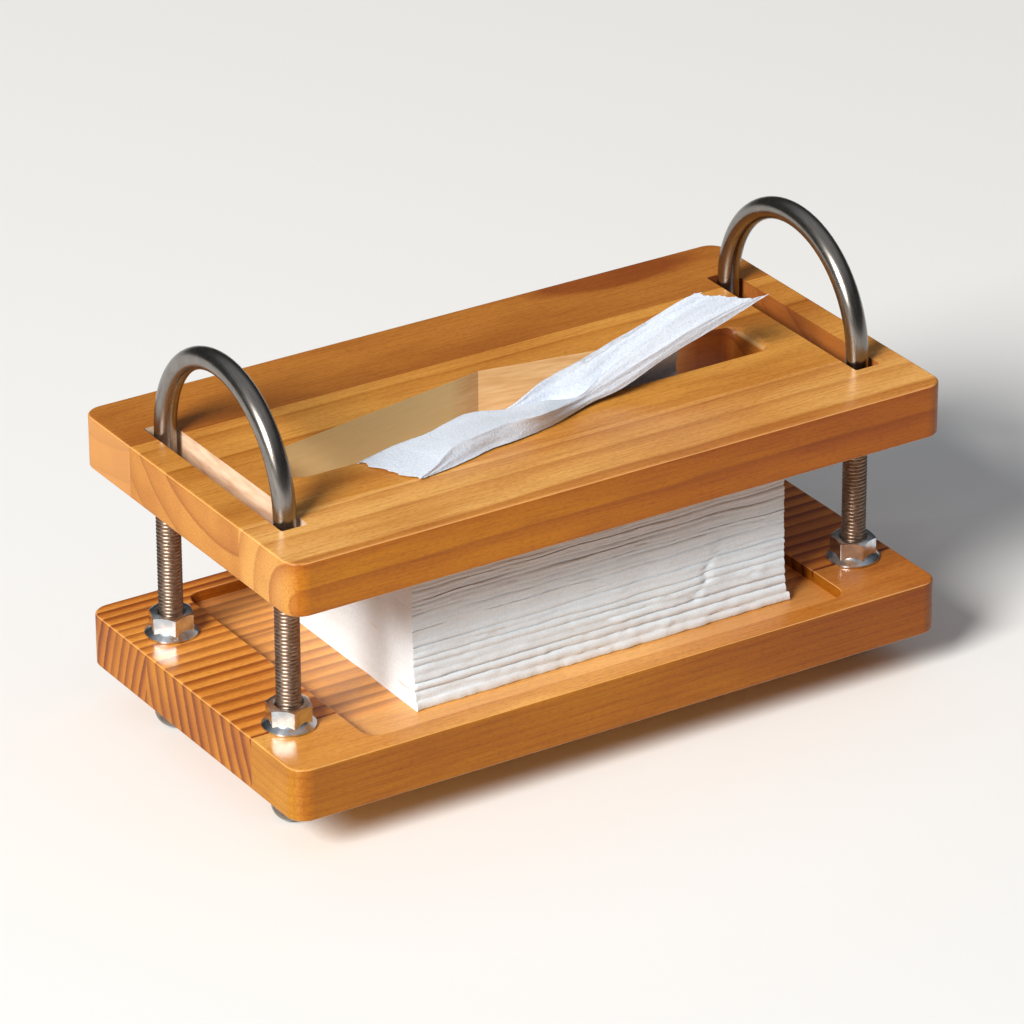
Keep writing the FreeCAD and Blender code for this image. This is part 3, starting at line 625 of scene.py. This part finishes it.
def flange_nut():
    """Hexagon with turned-down corners, dished into a wide flange, bored and countersunk."""
    low, high = FLANGE_LOW.z, FLANGE_HIGH.z
    rim = (FLANGE_HIGH.x - FLANGE_LOW.x) / 2
    nut = hexagon(low + 0.2, high)
    crown = [(0, low), (CLEAR_RADIUS, low), (CLEAR_RADIUS, high - CROWN_DROP),
             (CROWN_RADIUS, high), (0, high)]
    boolean(nut, turned("crown", crown), "INTERSECT")
    skirt = turned("skirt", [
        (0, low), (rim - 0.35, low), (rim, low + 0.25), (rim, low + 0.85), (rim - 0.3, low + 1.15),
        (7.55, low + 1.75), (6.9, low + 2.35), (6.35, low + 3.1), (0, low + 3.1)])
    boolean(nut, skirt, "UNION")
    bore = [(0, low - 1), (NUT_BORE, low - 1), (NUT_BORE, high - 0.75),
            (NUT_BORE + 0.95, high + 0.2), (0, high + 0.2)]
    boolean(nut, turned("bore", bore), "DIFFERENCE")
    return nut


def dome_nut():
    """A closed nut: hexagon above, half ball below, as one turned and bored piece."""
    low, high = DOME_LOW.z, DOME_HIGH.z
    shoulder = high - DOME_HEXAGON
    nut = hexagon(shoulder, high)
    crown = [(0, shoulder), (CROWN_RADIUS, shoulder), (CLEAR_RADIUS, shoulder + CROWN_DROP),
             (CLEAR_RADIUS, high), (0, high)]
    boolean(nut, turned("crown", crown), "INTERSECT")
    arc = [(DOME_RADIUS * math.sin(math.radians(a)),
            low + DOME_RADIUS - DOME_RADIUS * math.cos(math.radians(a)))
           for a in range(0, 91, 6)]
    cap = arc + [(DOME_RADIUS, shoulder + 0.3), (0, shoulder + 0.3)]
    boolean(nut, turned("cap", cap), "UNION")
    bore = [(0, high - DOME_BORE_DEPTH), (NUT_BORE, high - DOME_BORE_DEPTH),
            (NUT_BORE, high + 1), (0, high + 1)]
    boolean(nut, turned("bore", bore), "DIFFERENCE")
    return nut


def nuts(kind, pattern, material, twist):
    """One nut per leg, each at the turn where it stopped."""
    finish_with(pattern, material)
    soften(pattern, 35)
    for leg, turn in NUT_TURNS.items():
        side, end = leg.split("_")
        spot = Vector((BOLT_X * (1 if side == "right" else -1),
                       LEG_Y * (1 if end == "back" else -1), 0)) * MM
        turning = Matrix.Rotation(math.radians(turn + twist), 4, "Z")
        nut = copy_of(pattern, kind + "_" + leg, Matrix.Translation(spot) @ turning)
        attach(nut, "base")
        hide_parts(kind.replace("_steel", "") + "_" + leg)
    bpy.data.objects.remove(pattern)


nuts("flange_nut_steel", flange_nut(),
     plated("zinc_plated_steel", "#b9c0c6", "#dde2e6", 0.16, 0.3), 0)
# The dome nuts are given a dark grey, darker than nickel: painted shade for the feet in shadow
# under the base
nuts("dome_nut_steel", dome_nut(),
     plated("nickel_plated_steel", "#6b6660", "#8d8780", 0.16, 0.28), 7)


# Tissue pack

# Each fold is cut into rows at these shares of its thickness, close together where it meets the
# next one. The lowest folds are loose: they are thicker, and stick out by the lean of the sides.
# Near SLIP_SHARE of the height the folds have slipped past one another.
FOLDS = 30
FOLD_ROWS = (0, 0.07, 0.2, 0.5, 0.8, 0.93)
LOOSE_SHARE = 0.25
SIDE_LEAN, TOP_LEAN = 3.0, 3.4
SLIP_SHARE, SLIP_REACH = 0.31, 0.13
CUTS_ALONG, CUTS_ACROSS = 179, 29


def pack_block():
    """The pack as a block whose sides are cut into rows."""
    size = PACK_HIGH - PACK_LOW
    bpy.ops.mesh.primitive_cube_add(size=1, location=(PACK_HIGH + PACK_LOW) / 2 * MM,
                                    scale=size * MM)
    block = named("tissue_stack")
    settle(block)
    rows = FOLDS * len(FOLD_ROWS)
    for axis, cuts in ((2, rows - 1), (0, CUTS_ALONG), (1, CUTS_ACROSS)):
        edit(block, "EDGE")
        net = bmesh.from_edit_mesh(block.data)
        for edge in net.edges:
            run = (edge.verts[0].co - edge.verts[1].co) / MM
            other = (axis + 1) % 3, (axis + 2) % 3
            edge.select_set(abs(run[axis]) > 0.2 and all(abs(run[i]) < 0.01 for i in other))
        bmesh.update_edit_mesh(block.data)
        bpy.ops.mesh.subdivide(number_cuts=cuts)
        leave()
    return block


def fold_share(number):
    """Where a fold starts, as a share of the height: the lowest folds are loose and thicker."""
    share = number / FOLDS
    return (1 - LOOSE_SHARE) * share + LOOSE_SHARE * (1 - (1 - share) ** 4)


def slip_place(share):
    """Where along X the folds have slipped past one another."""
    return 45 + 34 * (share - SLIP_SHARE) + noise.noise(Vector((share * 22, 0.5, 0.5))) * 2.5


def slip_strength(share):
    """How much they have slipped at a share of the height."""
    return math.exp(-(((share - SLIP_SHARE) / SLIP_REACH) ** 2))


def folded_side(x, share, fold, within, side):
    """How far a folded edge lies behind the outermost one, in millimetres, at a place."""
    loose = (1 - share) ** 2
    near = min(within, 1 - within)
    open_here = 0.8 + 0.5 * noise.noise(Vector((x * 0.03, fold * 5.13, side * 2.7)))
    line = math.exp(-((near / 0.06) ** 2)) * open_here
    groove = 0.38 * line + (0.12 + 0.5 * loose) * (2 * within - 1) ** 2
    swell = 0.35 * noise.noise(Vector((fold * 7.37, x * 0.03, side * 3.3)))
    dent = 1.1 * noise.noise(Vector((x * 0.09, share * 0.9, side * 6.4))) * share
    crimp = noise.noise(Vector((x * 0.35, fold * 2.13 + within, side * 4.6)))
    crimp *= 0.12 + 0.3 * loose
    lean = SIDE_LEAN * (1 - (1 - share) ** 4)
    slip = 1.1 * math.exp(-(((x - slip_place(share)) / 1.1) ** 2)) * slip_strength(share)
    return lean + groove + swell + dent + crimp + slip + 0.3


def cut_end(y, share, fold, end):
    """How far a cut end lies behind the outermost layer, in millimetres, at a place. The left
    end is cut flush, with one dent near its middle, and the right end steps back upwards."""
    slip = noise.noise(Vector((end * 3, y * 0.03, fold * 1.7)))
    if end < 0:
        crease = math.exp(-(((y + 14) / 5) ** 2))
        return 0.35 + 0.12 * slip + 0.3 * crease
    back = 0.3 if fold == 0 else 1.5 + 1.2 * share
    if share > 0.9:
        back -= 0.9
    return back + 0.3 * slip


def tissue_stack(paper):
    """The pack with its folds drawn in, its waves and the place where the folds have slipped."""
    block = pack_block()
    middle = (PACK_HIGH + PACK_LOW) / 2
    half = (PACK_HIGH - PACK_LOW) / 2
    rows = len(FOLD_ROWS)
    for vertex in block.data.vertices:
        place = vertex.co / MM
        row = round((place.z - PACK_LOW.z) / (2 * half.z) * FOLDS * rows)
        fold, step = divmod(row, rows)
        within = FOLD_ROWS[step]
        share = fold_share(fold + within)
        wave = noise.noise(Vector((place.x * 0.02, place.y * 0.02, fold * 0.35 + 0.4)))
        ripple = noise.noise(Vector((place.x * 0.08, place.y * 0.08, fold * 0.77 + 0.3)))
        calm = math.sin(math.pi * share)
        slipped = min(max((place.x - slip_place(share)) / 1.6, 0), 1) * slip_strength(share)
        lift = (0.9 * wave + (0.3 + 0.4 * (1 - share)) * ripple + 1.2 * slipped) * calm
        place.z = PACK_LOW.z + 2 * half.z * share + lift
        offset = place - middle
        if abs(offset.y) > half.y - 0.001:
            side = math.copysign(1, offset.y)
            place.y -= side * folded_side(place.x, share, fold, within, side)
        else:
            place.y = middle.y + offset.y * (1 - TOP_LEAN / half.y * (1 - (1 - share) ** 4))
        if abs(offset.x) > half.x - 0.001:
            end = math.copysign(1, offset.x)
            place.x -= end * cut_end(place.y, share, fold, end)
        vertex.co = place * MM
    finish_with(block, paper)
    soften(block, 75)
    return block


# The pack takes the full painted shade and warm reflection of the board towards its top
stack = tissue_stack(tissue_paper("tissue_paper_creped", "#edf7ff", "#e4eef6", 0.5, 0.05, 1))
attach(stack, "base")
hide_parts("tissue_pack")


# Drawn tissue

# The sheet goes down into the opening and up again as a narrow V, is pleated to a ribbon, lies
# on the board at the left and stands up at the right. Each line below is one crease of it, from
# the left end to the right end. The valley and the ridge part the face that stands behind from
# the one that lies in front.
SHEET_LENGTH, SHEET_WIDTH, SHEET_THICKNESS = 140, 180, 0.18
UPPER = [(-66.4, -15.2, 103.4), (-52.1, -11.6, 103.7), (-38.5, -10.3, 104.2), (-22.3, -6.9, 105.2),
         (-9.5, -8.8, 104.2), (4.2, -9.5, 110.9), (17.6, -9.5, 114.4), (30.6, -9.5, 118.3),
         (42.8, -9.5, 121.6), (53.9, -9.5, 125.2), (62.2, -9.5, 127.0)]
VALLEY = [(-66.6, -15.5, 103.5), (-52.3, -11.9, 103.9), (-38.7, -10.7, 104.4),
          (-22.7, -7.4, 105.5), (-10.5, -10.5, 104.0), (2.8, -11.8, 103.5), (12.2, -17.0, 105.7),
          (23.6, -14.5, 110.7), (39.6, -13.7, 117.1), (54.4, -13.2, 122.2), (67.6, -12.6, 125.5)]
RIDGE = [(-66.7, -15.7, 103.7), (-52.5, -12.3, 104.1), (-39.0, -11.2, 104.7), (-23.2, -8.3, 106.0),
         (-12.9, -14.3, 107.3), (-1.6, -18.8, 109.0), (11.5, -19.0, 107.5), (23.2, -16.1, 112.0),
         (39.4, -14.7, 118.2), (54.3, -14.0, 123.5), (68.3, -13.2, 126.0)]
CREST = [(-57.3, -35.7, 103.7), (-50.0, -33.4, 105.2), (-40.9, -29.1, 107.6),
         (-31.3, -28.1, 108.8), (-19.6, -26.6, 109.2), (-7.4, -27.7, 109.5), (11.7, -19.7, 107.0),
         (23.9, -18.3, 109.8), (39.6, -18.0, 114.5), (58.7, -17.8, 120.3), (78.4, -16.9, 123.8)]
LOWER = [(-54.7, -35.0, 103.4), (-46.7, -34.0, 103.4), (-36.8, -31.8, 103.4),
         (-26.5, -29.0, 103.4), (-17.4, -28.2, 103.4), (-0.6, -24.7, 103.5), (15.0, -20.0, 104.7),
         (27.8, -19.3, 106.5), (45.0, -18.4, 112.5), (65.3, -18.1, 118.4), (84.7, -16.9, 123.9)]
STEM_LEFT, STEM_RIGHT = -36, 55
STEM_BACK, STEM_FRONT = -8.0, -9.0
# The pleats lie behind the faces that show, and turn back at these shares of the way from the
# lower edge to the upper one. Their number is odd, so the last of them turns at the upper edge.
PLEATS = 9
HIGH_TURN, LOW_TURN = 0.86, 0.12
PLEAT_GAP = 0.16
HIDDEN_ROWS, SEEN_ROWS = 6, 16
COLUMNS_PER_STATION = 12
# The vector noise that crepes the sheet starts from the clock, unless it gets a seed
WRINKLE_HEIGHT, CREPE_HEIGHT, CREPE_SEED = 0.45, 0.11, 1


def creases():
    """Every crease of the sheet in order across it, as lines of points."""
    along = [i / (len(UPPER) - 1) for i in range(len(UPPER))]
    bottom = PACK_HIGH.z + 0.6
    lines = []
    for y, z in ((STEM_BACK, BOARD_TOP - 1), (STEM_BACK, bottom), (STEM_FRONT, bottom),
                 (STEM_FRONT, BOARD_TOP + 0.8)):
        lines.append([Vector((STEM_LEFT + (STEM_RIGHT - STEM_LEFT) * a, y, z)) for a in along])
    for pleat in range(PLEATS):
        turn = LOW_TURN if pleat % 2 else HIGH_TURN
        depth = PLEAT_GAP * (PLEATS - pleat)
        line = [Vector(low).lerp(Vector(high), turn) for low, high in zip(LOWER, UPPER)]
        for i, (point, a) in enumerate(zip(line, along)):
            # Under the ribbon where it lies, and behind it where it stands
            standing = min(max((a - 0.45) / 0.2, 0), 1)
            point.y += depth * standing
            point.z = max(point.z - depth * (1 - standing), BOARD_TOP + 0.25 + 0.03 * pleat)
            if turn == HIGH_TURN:
                # In the middle, where the ribbon is pinched, the valley presses the turn down
                under = Vector(VALLEY[i]) + Vector((0, 0.8 + 0.3 * depth, -0.4 - 0.5 * depth))
                line[i] = point.lerp(under, min(max(1.5 - abs(a - 0.55) / 0.16, 0), 1))
        line[0] = line[0].lerp(line[1], 0.15)
        line[-1] = line[-1].lerp(line[-2], 0.25)
        lines.append(line)
    return lines + [[Vector(p) for p in line] for line in (UPPER, VALLEY, RIDGE, CREST, LOWER)]


def smooth_line(points, steps):
    """Points on a curve through all the given ones."""
    made = []
    for i in range(len(points) - 1):
        before = points[max(i - 1, 0)]
        after = points[min(i + 2, len(points) - 1)]
        a, b = points[i], points[i + 1]
        for step in range(steps):
            t = step / steps
            slope_a = (b - before) / 2
            slope_b = (after - a) / 2
            made.append(a * (2 * t**3 - 3 * t**2 + 1) + slope_a * (t**3 - 2 * t**2 + t)
                        + b * (3 * t**2 - 2 * t**3) + slope_b * (t**3 - t**2))
    return made + [points[-1]]


def wrinkled(point, row, column, columns):
    """A point of the sheet, moved by wrinkles along the ribbon, crepe and the torn ends."""
    wrinkle = noise.noise(Vector((column * 0.035, row * 0.19, 3.4)))
    crepe = noise.noise_vector(Vector((column * 0.45, row * 0.53, 9.6)))
    moved = point + Vector((0, -0.5, 0.8)) * wrinkle * WRINKLE_HEIGHT + crepe * CREPE_HEIGHT
    to_end = min(column, columns - 1 - column)
    if to_end < 2 and moved.z > BOARD_TOP:
        torn = noise.noise(Vector((row * 0.47, 5.4, column * 0.01))) + 0.2
        moved.x += torn * (2.2 - 0.9 * to_end) * (1 if column < 2 else -1)
    # Beside the opening the sheet lies on the board and not in it
    if moved.z > BOARD_TOP - 3 and abs(moved.y - STEM_BACK) > 2:
        moved.z = max(moved.z, BOARD_TOP + 0.3)
    return moved


def drawn_sheet(paper):
    """One sheet through all the creases, wrinkled and then given its thickness."""
    noise.seed_set(CREPE_SEED)
    lines = [smooth_line(line, COLUMNS_PER_STATION) for line in creases()]
    hidden = len(lines) - 5
    rows = []
    for number, (first, second) in enumerate(zip(lines, lines[1:])):
        steps = HIDDEN_ROWS if number < hidden else SEEN_ROWS
        for step in range(steps):
            rows.append([a.lerp(b, step / steps) for a, b in zip(first, second)])
    rows.append(lines[-1])
    columns = len(rows[0])
    vertices = [wrinkled(point, r, c, columns) * MM
                for r, row in enumerate(rows) for c, point in enumerate(row)]
    faces = []
    for r in range(len(rows) - 1):
        for c in range(columns - 1):
            corner = r * columns + c
            faces.append((corner, corner + 1, corner + columns + 1, corner + columns))
    mesh = bpy.data.meshes.new("drawn_sheet")
    mesh.from_pydata(vertices, [], faces)
    sheet = bpy.data.objects.new("drawn_sheet", mesh)
    bpy.context.collection.objects.link(sheet)
    modify(sheet, "SOLIDIFY", thickness=SHEET_THICKNESS * MM, offset=0)
    finish_with(sheet, paper)
    soften(sheet, 24)
    return sheet


drawn = drawn_sheet(tissue_paper("tissue_paper_drawn", "#d2d9e5", "#c2cbd9", 0.9, 0.4, 0))
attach(drawn, "tissue")
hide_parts("drawn_tissue")


# Studio

def studio():
    """A seamless floor of matt white paper."""
    bpy.ops.mesh.primitive_plane_add(size=14, location=(0, 0, 0))
    floor = named("floor")
    paper = new_material("studio_floor_paper", Base_Color=colour("#efefee"), Roughness=0.9)[0]
    finish_with(floor, paper)


def camera():
    """The photograph's view: far off and long, from the left front and a little above."""
    place = Vector((-958.65, -1520.26, 953.72)) * MM
    sight = Vector((0.47735, 0.75810, -0.44433))
    roll = math.radians(-0.242)
    lens = bpy.data.cameras.new("camera")
    lens.sensor_width = 36
    lens.lens = 222.4
    eye = bpy.data.objects.new("camera", lens)
    bpy.context.collection.objects.link(eye)
    turn = sight.to_track_quat("-Z", "Y").to_matrix().to_4x4()
    eye.matrix_world = Matrix.Translation(place) @ turn @ Matrix.Rotation(roll, 4, "Z")
    bpy.context.scene.camera = eye


def sky():
    """A dark room with a paler ceiling, so that metal and varnish have something to show."""
    world = bpy.data.worlds.new("dark_room")
    world.use_nodes = True
    tree = world.node_tree
    direction = add(tree, "TexCoord")
    height = add(tree, "SeparateXYZ", None, {0: direction.outputs["Generated"]})
    glow = add(tree, "ValToRGB", {"stops": [(0.0, "#383838"), (0.5, "#46484a"), (0.9, "#b2b4b8")]},
               {0: height.outputs["Z"]})
    tree.links.new(glow.outputs[0], tree.nodes["Background"].inputs["Color"])
    tree.nodes["Background"].inputs["Strength"].default_value = 1
    bpy.context.scene.world = world


def window_light():
    """The broad light from the left that models every edge and draws the soft shadows."""
    lamp = bpy.data.lights.new("key", "AREA")
    lamp.shape = "DISK"
    lamp.size = 2.4
    lamp.energy = 560
    lamp.color = colour("#fffcf7")[:3]
    light = bpy.data.objects.new("key", lamp)
    bpy.context.collection.objects.link(light)
    towards = Vector((-0.77, -0.33, 0.55))
    light.location = towards * 6 + Vector((0, 0, 0.06))
    light.rotation_euler = towards.to_track_quat("Z", "Y").to_euler()


studio()
sky()
window_light()
camera()
bpy.context.scene.view_settings.view_transform = "Standard"
